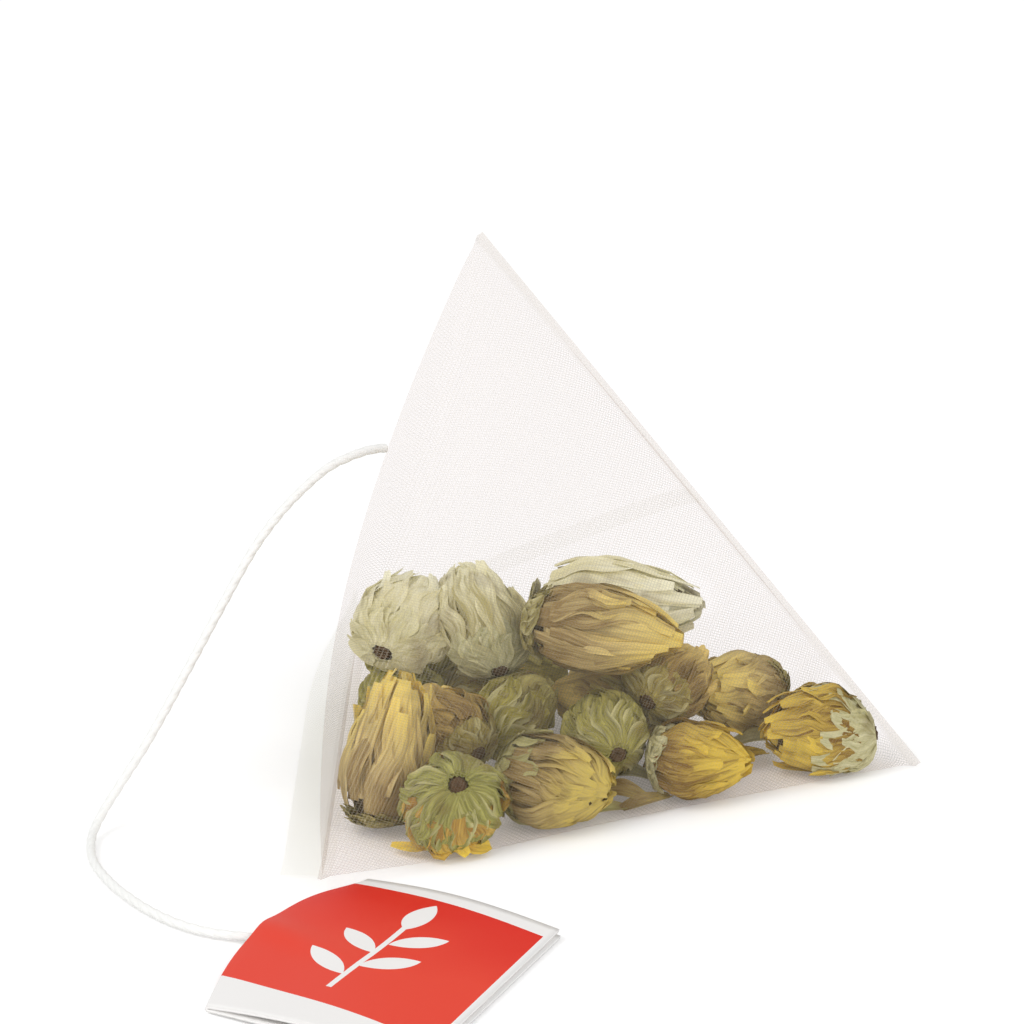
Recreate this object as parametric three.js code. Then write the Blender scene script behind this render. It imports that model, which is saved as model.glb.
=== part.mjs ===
// Pyramid tea bag: a heat-sealed mesh pouch with dried flower buds inside, a cotton string
// and a folded paper tag. Millimetres, +Z up. The pouch rests on the triangle between its
// closing seal and its right corner, and the origin is under the middle of the pouch.
import * as THREE from 'three';

// Pouch, as the packing machine makes it: a flat tube of web, sealed across at its foot,
// then sealed across at its top at a right angle, one web advance later.
const sealWidth = 60;          // length of each seal, half the way round the tube
const webAdvance = 48.6;       // height of every face over its seal
const wall = 0.3;              // stands in for the 0.08 mm fabric
const closingFin = 3.5;        // flat lip outside the closing seal
const topFin = 0.6;            // narrow lip outside the top seal
const finThick = 0.5;          // two plies welded together
const finCurl = 80;            // degrees that the closing lip stands up at its back end
const finCurlStart = 0.55;     // share of the seal, from the front, where the lip lies flat
const leftBulge = 3.3;         // how far the contents and the stiff web push the faces out
const frontBulge = 3.4;
const backBulge = 3.2;
const sideFoldBow = 0.2;       // how far the soft folds draw in, up the sides
const baseFoldBow = 1.2;       // and along the base
const frontCornerLift = 1.3;   // the front corner lies over the corner of the tag
const liftReach = 8;           // and comes down to the table this far from its point

// Weave, drawn coarse: bands of thread as ridges, with one gap in every mesh off the folds.
const meshesPerHalfSeal = 6;
const bandWidth = 2.1;
const ridgeHeight = 0.2;
const overUnder = 0.12;        // how far the bands rise and dip where they cross
const lapHeight = 0.2;         // lengthwise lap weld of the tube, up the back face

// Buds, each [x, y, z, yaw, tilt, length, girth]: where it lies before the heap settles, x
// from the closing seal, and the turn of the line from its stem scar to its petal tips.
const budClearance = 0.25;
const wallGive = 0.7;          // share of the bulge that the buds can lean into
const budList = [
  [10.4, -23.0, 4.0, 110, -28, 9.0, 7.0],
  [19.4, -17.0, 4.2, -25, -5, 11.0, 7.4],
  [31.0, -10.0, 4.0, -12, 0, 8.8, 6.8],
  [42.5, -3.0, 4.2, 195, 5, 8.8, 6.8],
  [4.8, -16.5, 6.5, 60, 68, 12.8, 7.4],
  [22.8, -6.0, 5.4, 110, 5, 8.4, 6.4],
  [14.8, -6.4, 5.4, 60, 15, 8.4, 6.4],
  [9.0, -7.6, 5.4, 130, 15, 8.6, 6.4],
  [35.0, 2.0, 4.4, 215, 15, 8.4, 6.8],
  [28.6, -1.2, 8.0, 60, 10, 7.8, 6.2],
  [5.6, 2.0, 4.4, 80, 0, 9.2, 7.0],
  [13.0, 3.0, 4.4, 15, 0, 9.0, 6.4],
  [21.6, 0.6, 4.6, 170, 0, 9.2, 7.6],
  [5.8, 12.6, 4.4, 100, 0, 10.0, 7.2],
  [14.4, 11.6, 4.4, -35, 0, 9.4, 6.8],
  [21.0, -1.0, 12.0, -6, -4, 13.0, 7.8],
  [4.8, 2.0, 11.6, 70, 15, 9.8, 7.4],
  [11.8, 1.8, 12.0, 115, 35, 10.5, 7.2],
  [22.0, 8.4, 13.0, 172, 4, 12.0, 7.4],
  [23.6, 10.6, 4.4, -20, 0, 9.0, 6.8],
];
const petalRidges = 10;
const petalDepth = 0.14;
const calyxDepth = 0.04;
const tipDepth = 0.34;
// A bud's body as overlapping balls: place along its length, and share of its girth.
const budLobes = [[0.32, 0.86], [0.50, 1.0], [0.70, 0.82], [0.87, 0.5]];

// String: cotton, tacked to the left face and caught at the fold of the tag. Its points are
// x from the closing seal, y and z.
const stringDiameter = 0.8;
const stringSides = 8;
const stringSteps = 38;
const stringPoints = [
  [3.3, 10.8, 23.9], [2.1, 9.8, 24.1], [0.5, 8.5, 24.0], [-1.6, 6.8, 23.4],
  [-4.3, 4.2, 21.6], [-6.3, 2.0, 19.7], [-7.9, -0.1, 17.7], [-10.4, -4.0, 13.9],
  [-12.9, -7.9, 10.0], [-15.4, -11.7, 6.2], [-17.3, -14.2, 3.7], [-18.8, -16.4, 1.8],
  [-19.6, -18.6, 0.7], [-19.7, -21.2, 0.42], [-19.3, -24.5, 0.42], [-18.2, -27.7, 0.42],
  [-16.4, -31.3, 0.42], [-13.9, -35.0, 0.42], [-11.2, -37.8, 0.42], [-8.3, -39.5, 0.42],
  [-4.6, -40.4, 0.42],
];

// Tag: one card folded in two, a little out of square. Its far corner is under the front
// corner of the pouch, and the fold is the edge that the string comes out of.
const tagCorner = [2.3, -27.2];
const tagTurn = 70;
const tagSkew = 12;
const tagFoldLength = 29.6;
const tagPlyLength = 19.8;
const cardThick = 0.25;
const plyGap = 0.05;
const lowerPlyExtra = 0.7;
const tagBow = 0.6;            // rise of the upper ply
const foldSwell = 1.3;         // the fold stands out where the string passes through it
const printFromFarEdge = 1.3;
const printToNearEdge = 3.2;
const printToOpenSide = 0.8;

const point = (x, y, z) => new THREE.Vector3(x, y, z);
const mix = (a, b, share) => a.clone().lerp(b, share);
const rad = THREE.MathUtils.degToRad;
const smooth = THREE.MathUtils.smoothstep;

// Closed bodies are gathered as loose triangles that agree at their corners. A patch keeps
// the triangles of one colour together.
class Skin {
  corners = [];
  patches = [];

  triangle(...abc) {
    for (const p of abc) this.corners.push(p.x, p.y, p.z);
  }

  quad(a, b, c, d) {
    this.triangle(a, b, c);
    this.triangle(a, c, d);
  }

  startPatch(material) {
    this.patches.push([this.corners.length / 3, material]);
  }

  geometry() {
    const geometry = new THREE.BufferGeometry();
    geometry.setAttribute('position', new THREE.Float32BufferAttribute(this.corners, 3));
    const count = this.corners.length / 3;
    this.patches.forEach(([from, material], k) => {
      const to = k + 1 < this.patches.length ? this.patches[k + 1][0] : count;
      geometry.addGroup(from, to - from, material);
    });
    geometry.computeVertexNormals();
    return geometry;
  }
}

// The four corners: apex and right hold the top seal, front and back the closing seal.
const apexReach = (2 * webAdvance ** 2 - sealWidth ** 2) / (2 * webAdvance);
const apex = point(apexReach, 0, Math.sqrt(webAdvance ** 2 - apexReach ** 2));
const front = point(0, -sealWidth / 2, 0);
const back = point(0, sealWidth / 2, 0);
const right = point(webAdvance, 0, 0);
const middle = mix(mix(front, back, 0.5), mix(apex, right, 0.5), 0.5);
const inRadius = middle.z;
const topSealOut = mix(apex, right, 0.5).normalize();

// The web is a grid: columns run round the tube from the back corner and rows go from the
// closing seal to the top seal, so that the four folds pass through corners of the grid.
const rows = meshesPerHalfSeal;
const halfTurn = 2 * meshesPerHalfSeal;
const fullTurn = 2 * halfTurn;
const columnPitch = sealWidth / halfTurn;
const rowPitch = webAdvance / rows;

// Faces in the order that the web goes round them, each between its left and right fold.
const faces = [
  { left: [back, apex], right: [front, apex], bulge: leftBulge },
  { left: [front, apex], right: [front, right], bulge: frontBulge },
  { left: [front, right], right: [back, right], bulge: 0 },
  { left: [back, right], right: [back, apex], bulge: backBulge },
];
const [, , floorFace, backFace] = faces;
for (const face of faces) {
  const third = face.right.find((corner) => !face.left.includes(corner));
  face.plane = new THREE.Plane().setFromCoplanarPoints(...face.left, third);
  if (face.plane.distanceToPoint(middle) > 0) face.plane.negate();
  face.narrowsUp = face.left[1] === face.right[1];
  face.height = Math.max(...[apex, front, back, right].map((c) => -face.plane.distanceToPoint(c)));
}

// The columns of a face's two folds at a row: each fold leans one column a row.
function foldsOf(face, row) {
  const folds = [row, halfTurn - row, halfTurn + row, fullTurn - row, fullTurn + row];
  const index = faces.indexOf(face);
  return [folds[index], folds[index + 1]];
}

// A face's bulge is none at its folds and full at its middle. The depths are shares of the
// way from each of its three sides to the far corner.
const fullness = (depths) => Math.sqrt(27 * depths.reduce((all, depth) => all * Math.max(0, depth), 1));
const bowOf = (fold) => (fold.includes(apex) ? sideFoldBow : baseFoldBow);

function faceAt(column, row) {
  for (const face of faces) {
    const [low, high] = foldsOf(face, row);
    if (column >= low && column <= high) return { face, column, low, high };
    const turned = column + fullTurn;
    if (turned >= low && turned <= high) return { face, column: turned, low, high };
  }
  throw new Error(`no face at column ${column}, row ${row}`);
}

// Where a place of the web lies on the pouch, and whether it is on a fold.
function webPlace(anyColumn, row) {
  const { face, column, low, high } = faceAt(anyColumn, row);
  const up = row / rows;
  const across = high > low ? (column - low) / (high - low) : 0;
  const place = mix(mix(...face.left, up), mix(...face.right, up), across);
  const toPoint = face.narrowsUp ? up : 1 - up;
  const foldPull = 4 * toPoint * (1 - toPoint);
  const [leftBow, rightBow] = [face.left, face.right].map((fold) => bowOf(fold));
  const bow = THREE.MathUtils.lerp(leftBow, rightBow, across);
  place.add(middle.clone().sub(place).setLength(bow * foldPull));
  const depths = [toPoint, (1 - toPoint) * across, (1 - toPoint) * (1 - across)];
  place.addScaledVector(face.plane.normal, face.bulge * fullness(depths));
  const onFold = column === low || column === high;
  const touchesFloor = face === floorFace || (onFold && face.left[1] === right)
    || (onFold && face.right[1] === right && column === high);
  if (touchesFloor) place.z = 0;
  place.z += frontCornerLift * Math.max(0, 1 - (place.y - front.y) / liftReach);
  return { place, face, onFold };
}

// The pouch's wall at a crossing of two bands: its outer and its inner corner.
function crossing(column, row) {
  const { place, face, onFold } = webPlace(column, row);
  if (onFold || row === 0 || row === rows) {
    return [place, mix(place, middle, wall / inRadius)];
  }
  const normal = face.plane.normal;
  const weave = (column + row) % 2 === 0 ? overUnder : -overUnder;
  const inner = place.clone();
  if (face === floorFace) {
    inner.addScaledVector(normal, -(wall + ridgeHeight + weave));
    return [place, inner];
  }
  inner.addScaledVector(normal, weave - wall);
  const onLap = face === backFace && column % fullTurn === 0;
  place.addScaledVector(normal, weave + ridgeHeight + (onLap ? lapHeight : 0));
  return [place, inner];
}

// One mesh of the web: a frame of bands round a gap, or a plain bent piece on a fold.
function addMesh(skin, column, row, corner) {
  const next = (column + 1) % fullTurn;
  const around = [[column, row], [next, row], [next, row + 1], [column, row + 1]];
  const frame = around.map(([c, r]) => corner(c, r));
  const rises = column % halfTurn === row;
  const falls = column % halfTurn === halfTurn - 1 - row;
  if (rises || falls) {
    const outer = frame.map((pair) => pair[0]);
    const inner = frame.map((pair) => pair[1]).reverse();
    const turned = (ring, by) => [...ring.slice(by), ...ring.slice(0, by)];
    skin.quad(...turned(outer, rises ? 0 : 1));
    skin.quad(...turned(inner, rises ? 1 : 0));
    return;
  }
  const side = bandWidth / 2 / columnPitch;
  const foot = bandWidth / 2 / rowPitch;
  const gap = [[side, foot], [1 - side, foot], [1 - side, 1 - foot], [side, 1 - foot]].map(([c, r]) => {
    const { place, face } = webPlace(column + c, row + r);
    return [place, place.clone().addScaledVector(face.plane.normal, -wall)];
  });
  for (let k = 0; k < 4; k++) {
    const after = (k + 1) % 4;
    skin.quad(frame[k][0], frame[after][0], gap[after][0], gap[k][0]);
    skin.quad(gap[k][1], gap[after][1], frame[after][1], frame[k][1]);
    skin.quad(gap[k][0], gap[after][0], gap[after][1], gap[k][1]);
  }
}

// A lip outside a seal. Its two plies start at the seal's crossings, and end in a cut edge.
function addLip(skin, plies, cutEdge) {
  const last = plies.length - 1;
  for (let k = 0; k < last; k++) {
    skin.quad(cutEdge[k][0], cutEdge[k + 1][0], plies[k + 1][0], plies[k][0]);
    skin.quad(plies[k][1], plies[k + 1][1], cutEdge[k + 1][1], cutEdge[k][1]);
    skin.quad(cutEdge[k + 1][0], cutEdge[k][0], cutEdge[k][1], cutEdge[k + 1][1]);
  }
  skin.triangle(cutEdge[0][1], cutEdge[0][0], plies[0][0]);
  skin.triangle(cutEdge[last][0], cutEdge[last][1], plies[last][0]);
}

function meshBag() {
  const skin = new Skin();
  const sealSteps = [...Array(halfTurn + 1).keys()];

  // Closing lip: flat on the table at the front, standing up towards the back.
  const closingPlies = sealSteps.map((k) => {
    const [place] = crossing(k, 0);
    const inner = k === 0 || k === halfTurn;
    return [inner ? place : place.clone().setZ(place.z + finThick), place];
  });
  const closingCut = sealSteps.map((k) => {
    const { place } = webPlace(k, 0);
    const curl = rad(finCurl) * (1 - smooth(k / halfTurn, 0, 1 - finCurlStart));
    const upper = place.clone().add(point(-Math.cos(curl) * closingFin, 0, Math.sin(curl) * closingFin));
    upper.z += finThick;
    const lower = upper.clone().sub(point(Math.sin(curl), 0, Math.cos(curl)).multiplyScalar(finThick));
    return [upper, lower];
  });

  // Top lip: narrow and straight, in the plane of the seal.
  const topSteps = [...sealSteps].reverse();
  const sideways = point(0, finThick / 2, 0);
  const topPlies = topSteps.map((k) => {
    const { place } = webPlace(rows + k, rows);
    const end = k === 0 || k === halfTurn;
    return end ? [place, place] : [place.clone().sub(sideways), place.clone().add(sideways)];
  });
  const topCut = topSteps.map((k) => {
    const edge = webPlace(rows + k, rows).place.addScaledVector(topSealOut, topFin);
    return [edge.clone().sub(sideways), edge.clone().add(sideways)];
  });

  // The plies of the lips take the place of the seal's own outer corners.
  const corner = (column, row) => {
    const pair = crossing(column, row);
    if (row === 0 && column < halfTurn) pair[0] = closingPlies[column][0];
    if (row === 0 && column >= halfTurn) pair[0] = closingPlies[(fullTurn - column) % fullTurn][1];
    if (row === rows) {
      const k = (column - rows + fullTurn) % fullTurn;
      pair[0] = k <= halfTurn ? topPlies[halfTurn - k][0] : topPlies[k - halfTurn][1];
    }
    return pair;
  };
  for (let row = 0; row < rows; row++) {
    for (let column = 0; column < fullTurn; column++) addMesh(skin, column, row, corner);
  }
  addLip(skin, closingPlies, closingCut);
  addLip(skin, topPlies, topCut);
  return skin.geometry();
}

// A bud: its balls where it lies, and the radius of their outline along its axis.
function makeBud([x, y, z, yaw, tilt, length, girth], index) {
  const turn = new THREE.Euler(0, -rad(tilt), rad(yaw), 'ZYX');
  const lobes = budLobes.map(([along, share]) => ({
    along: (along - 0.5) * length,
    radius: share * girth / 2,
    offset: point((along - 0.5) * length, 0, 0).applyEuler(turn),
  }));
  return { home: point(x, y, z), at: point(x, y, z), turn, lobes, index };
}

// How far a face bulges next to a place inside the pouch.
function bulgeBeside(face, place) {
  const onFace = face.plane.projectPoint(place, point(0, 0, 0));
  const others = faces.filter((other) => other !== face);
  return face.bulge * fullness(others.map((other) => -other.plane.distanceToPoint(onFace) / other.height));
}

// Moves each pair of touching buds apart by half each, and each bud in from the walls.
function clearOverlaps(buds) {
  for (const bud of buds) {
    for (const other of buds.slice(0, bud.index)) {
      for (const a of bud.lobes) {
        for (const b of other.lobes) {
          const apart = bud.at.clone().add(a.offset).sub(other.at).sub(b.offset);
          const overlap = a.radius + b.radius + budClearance - apart.length();
          if (overlap <= 0) continue;
          apart.setLength(overlap / 2);
          bud.at.add(apart);
          other.at.sub(apart);
        }
      }
    }
  }
  for (const bud of buds) {
    for (const lobe of bud.lobes) {
      for (const face of faces) {
        const centre = bud.at.clone().add(lobe.offset);
        const give = wallGive * bulgeBeside(face, centre) - (face === floorFace ? ridgeHeight : 0);
        const reach = lobe.radius + wall + overUnder + budClearance - give;
        const out = face.plane.distanceToPoint(centre) + reach;
        if (out > 0) bud.at.addScaledVector(face.plane.normal, -out);
      }
    }
  }
}

// The heap sinks, each bud held near its own place, until it rests on the pouch's floor.
function settle(buds) {
  const sinkRounds = 400;
  const clearRounds = 300;
  const sinkStep = 0.02;
  const hold = 0.04;
  for (let round = 0; round < sinkRounds; round++) {
    for (const { at, home } of buds) {
      at.set(at.x + hold * (home.x - at.x), at.y + hold * (home.y - at.y), at.z - sinkStep);
    }
    clearOverlaps(buds);
  }
  for (let round = 0; round < clearRounds; round++) clearOverlaps(buds);
}

// A closed body round the X axis: green calyx, then petals in ridges up to a ragged tip.
function budGeometry(bud) {
  const low = Math.min(...bud.lobes.map((lobe) => lobe.along - lobe.radius));
  const high = Math.max(...bud.lobes.map((lobe) => lobe.along + lobe.radius));
  const outline = (x) => Math.max(...bud.lobes.map(
    (lobe) => Math.sqrt(Math.max(0, lobe.radius ** 2 - (x - lobe.along) ** 2))));
  const stations = [
    [0.02, 0.95, 0], [0.09, 0.97, calyxDepth], [0.20, 1.0, calyxDepth], [0.26, 0.9, petalDepth],
    [0.36, 0.98, petalDepth], [0.50, 1.0, petalDepth], [0.66, 0.99, petalDepth],
    [0.81, 0.97, petalDepth * 1.5], [0.94, 0.97, tipDepth],
  ];
  const sides = 2 * petalRidges;
  const rings = stations.map(([along, share, depth]) => {
    const x = THREE.MathUtils.lerp(low, high, along);
    return [...Array(sides).keys()].map((k) => {
      const angle = 2 * Math.PI * k / sides + 0.5 * along + bud.index;
      const groove = k % 2 === 1 ? depth : 0;
      const lean = 0.04 * (0.5 + 0.5 * Math.sin(3 * angle + bud.index));
      const radius = outline(x) * share * (1 - groove - lean);
      const ragged = k % 2 === 1 ? depth * depth * bud.lobes[1].radius : 0;
      return point(x - ragged, radius * Math.cos(angle), radius * Math.sin(angle));
    });
  });
  const skin = new Skin();
  const scar = point(THREE.MathUtils.lerp(low, high, 0.035), 0, 0);
  const heart = point(THREE.MathUtils.lerp(low, high, 0.86), 0, 0);
  for (let k = 0; k < sides; k++) {
    const next = (k + 1) % sides;
    for (let ring = 0; ring + 1 < rings.length; ring++) {
      skin.quad(rings[ring][k], rings[ring][next], rings[ring + 1][next], rings[ring + 1][k]);
    }
    skin.triangle(scar, rings[0][next], rings[0][k]);
    skin.triangle(heart, rings.at(-1)[k], rings.at(-1)[next]);
  }
  return skin.geometry();
}

function stringGeometry() {
  const path = new THREE.CatmullRomCurve3(stringPoints.map((p) => point(...p)));
  const section = new THREE.Shape();
  for (let k = 0; k < stringSides; k++) {
    const angle = 2 * Math.PI * (k + 0.5) / stringSides;
    section[k ? 'lineTo' : 'moveTo'](
      stringDiameter / 2 * Math.cos(angle), stringDiameter / 2 * Math.sin(angle));
  }
  section.closePath();
  return new THREE.ExtrudeGeometry(section, { steps: stringSteps, extrudePath: path });
}

// Tag: the card's section from its fold to its open side, swept along the fold.
const paper = 0;
const print = 1;
function tagGeometry() {
  const bowAt = (x) => tagBow * Math.sin(Math.PI * Math.min(1, Math.max(0, x / tagPlyLength)));
  const acrossSteps = 8;
  const printSide = tagPlyLength - printToOpenSide;
  const xs = [...Array(acrossSteps).keys()].map((k) => printSide * k / (acrossSteps - 1));
  const upperZ = (x) => 2 * cardThick + plyGap + bowAt(x);
  const lowerZ = (x) => cardThick + bowAt(x) * 0.5;
  const section = [];
  const add = (x, z, material) => section.push({ x, z, material });
  for (const x of xs) add(x, upperZ(x), x < printSide ? print : paper);
  add(tagPlyLength, upperZ(tagPlyLength), paper);
  add(tagPlyLength, cardThick + plyGap, paper);
  for (const x of [...xs].reverse()) {
    if (x > cardThick) add(x, cardThick + plyGap + bowAt(x), paper);
  }
  for (const x of xs) {
    if (x > cardThick) add(x, lowerZ(x), paper);
  }
  add(tagPlyLength + lowerPlyExtra, cardThick, paper);
  add(tagPlyLength + lowerPlyExtra, 0, paper);
  add(0, 0, paper);
  add(-cardThick, cardThick * 0.6, paper);
  add(-cardThick, cardThick * 1.6, print);

  const skew = Math.tan(rad(tagSkew));
  const printEnd = tagFoldLength - printToNearEdge;
  const inPrint = [0, 0.25, 0.5, 0.75, 1].map((share) => printFromFarEdge + share * (printEnd - printFromFarEdge));
  const ys = [0, ...inPrint, tagFoldLength];
  const at = (k, y) => {
    const { x, z } = section[k % section.length];
    const swell = foldSwell * Math.sin(Math.PI * y / tagFoldLength) * Math.max(0, 1 - x / tagPlyLength);
    return point(x - swell, -(y + skew * x), z);
  };
  const skin = new Skin();
  for (let row = 0; row + 1 < ys.length; row++) {
    for (let k = 0; k < section.length; k++) {
      const printed = row > 0 && row + 2 < ys.length && section[k].material === print;
      skin.startPatch(printed ? print : paper);
      skin.quad(at(k, ys[row]), at(k, ys[row + 1]), at(k + 1, ys[row + 1]), at(k + 1, ys[row]));
    }
  }
  const flat = section.map(({ x, z }) => new THREE.Vector2(x, z));
  skin.startPatch(paper);
  for (const [a, b, c] of THREE.ShapeUtils.triangulateShape(flat, [])) {
    skin.triangle(at(a, 0), at(c, 0), at(b, 0));
    skin.triangle(at(a, tagFoldLength), at(b, tagFoldLength), at(c, tagFoldLength));
  }
  return skin.geometry();
}

const part = new THREE.Group();
const pouch = new THREE.Group();
pouch.position.x = -(webAdvance + topFin * topSealOut.x - closingFin) / 2;
part.add(pouch);

function addPiece(name, geometry, colour, roughness) {
  const colours = Array.isArray(colour) ? colour : [colour];
  const finish = colours.map((c) => new THREE.MeshStandardMaterial({ color: c, roughness, metalness: 0 }));
  const mesh = new THREE.Mesh(geometry, Array.isArray(colour) ? finish : finish[0]);
  mesh.name = name;
  pouch.add(mesh);
  return mesh;
}

addPiece('mesh_bag', meshBag(), 0xf3efec, 0.6);
addPiece('string', stringGeometry(), 0xf4f3ef, 0.9);
const tag = addPiece('tag', tagGeometry(), [0xf6f4f2, 0xe8432e], 0.55);
tag.position.set(...tagCorner, 0);
tag.rotation.z = rad(tagTurn - 90);

const buds = budList.map(makeBud);
settle(buds);
for (const bud of buds) {
  const name = `bud_${String(bud.index + 1).padStart(2, '0')}`;
  const mesh = addPiece(name, budGeometry(bud), bud.index % 3 === 0 ? 0xd9b84a : 0x9c9a5e, 0.85);
  mesh.position.copy(bud.at);
  mesh.rotation.copy(bud.turn);
}

export default part;
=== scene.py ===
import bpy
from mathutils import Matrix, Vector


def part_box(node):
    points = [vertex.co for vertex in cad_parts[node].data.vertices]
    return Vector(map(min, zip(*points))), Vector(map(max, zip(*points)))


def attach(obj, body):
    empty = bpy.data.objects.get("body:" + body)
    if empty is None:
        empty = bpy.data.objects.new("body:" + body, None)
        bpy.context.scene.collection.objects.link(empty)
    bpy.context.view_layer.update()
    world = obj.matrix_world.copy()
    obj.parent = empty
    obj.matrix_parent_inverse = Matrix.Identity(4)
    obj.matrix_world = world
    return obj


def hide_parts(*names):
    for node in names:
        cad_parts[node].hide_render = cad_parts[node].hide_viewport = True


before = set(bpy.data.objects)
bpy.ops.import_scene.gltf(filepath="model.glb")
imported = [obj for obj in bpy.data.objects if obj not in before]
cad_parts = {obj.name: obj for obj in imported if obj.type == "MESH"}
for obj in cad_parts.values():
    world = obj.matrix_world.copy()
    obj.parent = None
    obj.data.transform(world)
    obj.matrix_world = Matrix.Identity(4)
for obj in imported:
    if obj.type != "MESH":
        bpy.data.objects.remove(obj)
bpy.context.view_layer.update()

import math
import random
import bpy
import numpy as np
from mathutils import Vector
from mathutils.kdtree import KDTree

# Camera: a long lens, a little above the table and a little to the right of straight on.
# Lengths below are in millimetres, with x from the closing seal, and mm() turns a place into
# the shared frame's metres. The closing seal's lip reaches the left end of the pouch.
closing_lip = 3.5
seal_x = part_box("mesh_bag")[0].x + closing_lip / 1000


def mm(x, y, z):
    return Vector((seal_x + x / 1000, y / 1000, z / 1000))


camera_pitch, camera_turn, camera_distance = math.radians(21.4), math.radians(2.5), 1.2605
camera_aim = mm(14.5, 0, 22.5)
away = Vector((math.sin(camera_turn) * math.cos(camera_pitch),
               -math.cos(camera_turn) * math.cos(camera_pitch), math.sin(camera_pitch)))
camera = bpy.data.objects.new("camera", bpy.data.cameras.new("camera"))
bpy.context.scene.collection.objects.link(camera)
bpy.context.scene.camera = camera
camera.location = camera_aim + away * camera_distance
camera.rotation_mode = "QUATERNION"
camera.rotation_quaternion = (-away).to_track_quat("-Z", "Y")
camera.data.lens = 527.3
camera.data.clip_start, camera.data.clip_end = 0.05, 20

# String: a cotton thread 0.8 mm thick, three soft plies twisted together. One end is welded to
# the left face of the pouch, and the other is caught in the fold of the tag.
string_points = [np.array(p) for p in (
    (3.3, 10.8, 23.9), (2.1, 9.8, 24.1), (0.5, 8.5, 24.0), (-1.6, 6.8, 23.4),
    (-4.3, 4.2, 21.6), (-6.3, 2.0, 19.7), (-7.9, -0.1, 17.7), (-10.4, -4.0, 13.9),
    (-12.9, -7.9, 10.0), (-15.4, -11.7, 6.2), (-17.3, -14.2, 3.7), (-18.8, -16.4, 1.8),
    (-19.6, -18.6, 0.7), (-19.7, -21.2, 0.42), (-19.3, -24.5, 0.42), (-18.2, -27.7, 0.42),
    (-16.4, -31.3, 0.42), (-13.9, -35.0, 0.42), (-11.2, -37.8, 0.42), (-8.3, -39.5, 0.42),
    (-4.6, -40.4, 0.42))]
string_step = 0.2
plies, ply_radius, ply_offset, twist_length, ply_sides = 3, 0.3, 0.1, 4.2, 10


# A smooth line through points, with corners at even steps along it.
def smooth_line(points, step, fineness=24):
    points = [2 * points[0] - points[1], *points, 2 * points[-1] - points[-2]]
    fine = []
    for a, b, c, d in zip(points, points[1:], points[2:], points[3:]):
        for share in np.linspace(0, 1, fineness, endpoint=False):
            fine.append(0.5 * (2 * b + (c - a) * share + (2 * a - 5 * b + 4 * c - d) * share ** 2
                               + (3 * b - a - 3 * c + d) * share ** 3))
    fine.append(points[-2])
    fine = np.array(fine)
    gone = np.concatenate([[0], np.cumsum(np.linalg.norm(np.diff(fine, axis=0), axis=1))])
    even = np.linspace(0, gone[-1], int(gone[-1] / step) + 1)
    return np.stack([np.interp(even, gone, fine[:, k]) for k in range(3)], 1)


# Turns lists of corners and faces in millimetres into a piece that rides on the part.
def make_piece(name, corners, faces, uvs, values=None):
    mesh = bpy.data.meshes.new(name)
    mesh.from_pydata([mm(*corner) for corner in corners], [], faces)
    layer = mesh.uv_layers.new(name="UVMap")
    for loop in mesh.loops:
        layer.data[loop.index].uv = uvs[loop.vertex_index]
    for key, numbers in (values or {}).items():
        mesh.attributes.new(key, "FLOAT", "POINT").data.foreach_set("value", numbers)
    mesh.polygons.foreach_set("use_smooth", [True] * len(mesh.polygons))
    piece = bpy.data.objects.new(name, mesh)
    bpy.context.scene.collection.objects.link(piece)
    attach(piece, "root")
    return piece


string_line = smooth_line(string_points, string_step)
tangents = np.gradient(string_line, axis=0)
tangents /= np.linalg.norm(tangents, axis=1)[:, None]
string_corners, string_faces, string_uvs = [], [], []
for ply in range(plies):
    across = np.cross(tangents[0], [0, 0, 1])
    for k, (centre, along) in enumerate(zip(string_line, tangents)):
        across = across - along * (across @ along)
        across /= np.linalg.norm(across)
        over = np.cross(along, across)
        spin = 2 * math.pi * (string_step * k / twist_length + ply / plies)
        middle = centre + ply_offset * (math.cos(spin) * across + math.sin(spin) * over)
        for s in range(ply_sides):
            angle = 2 * math.pi * s / ply_sides
            string_corners.append(middle + ply_radius * (math.cos(angle) * across + math.sin(angle) * over))
            string_uvs.append((s / ply_sides, string_step * k))
        if k:
            last = len(string_corners) - 2 * ply_sides
            for s in range(ply_sides):
                t = (s + 1) % ply_sides
                string_faces.append((last + s, last + t, last + ply_sides + t, last + ply_sides + s))
string = make_piece("string_twist", string_corners, string_faces, string_uvs)
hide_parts("string")


# A colour written as on the screen, in the linear form that shaders take.
def colour(code):
    parts = [int(code[k:k + 2], 16) / 255 for k in (1, 3, 5)]
    return [*(c / 12.92 if c <= 0.04045 else ((c + 0.055) / 1.055) ** 2.4 for c in parts), 1]


def new_material(name):
    material = bpy.data.materials.new(name)
    material.use_nodes = True
    material.node_tree.nodes.clear()
    return material


# Adds one shader node. Its inputs are a row of values, or a table of them by socket: a number
# or a colour is set on the socket, and a node or one of its outputs is linked to it.
def add(material, kind, inputs=(), **settings):
    tree = material.node_tree
    node = tree.nodes.new("ShaderNode" + kind)
    for key, value in settings.items():
        setattr(node, key, value)
    for key, value in (inputs.items() if isinstance(inputs, dict) else enumerate(inputs)):
        if isinstance(value, bpy.types.Node):
            value = value.outputs[0]
        if isinstance(value, bpy.types.NodeSocket):
            tree.links.new(value, node.inputs[key])
        else:
            node.inputs[key].default_value = value
    return node


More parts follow.
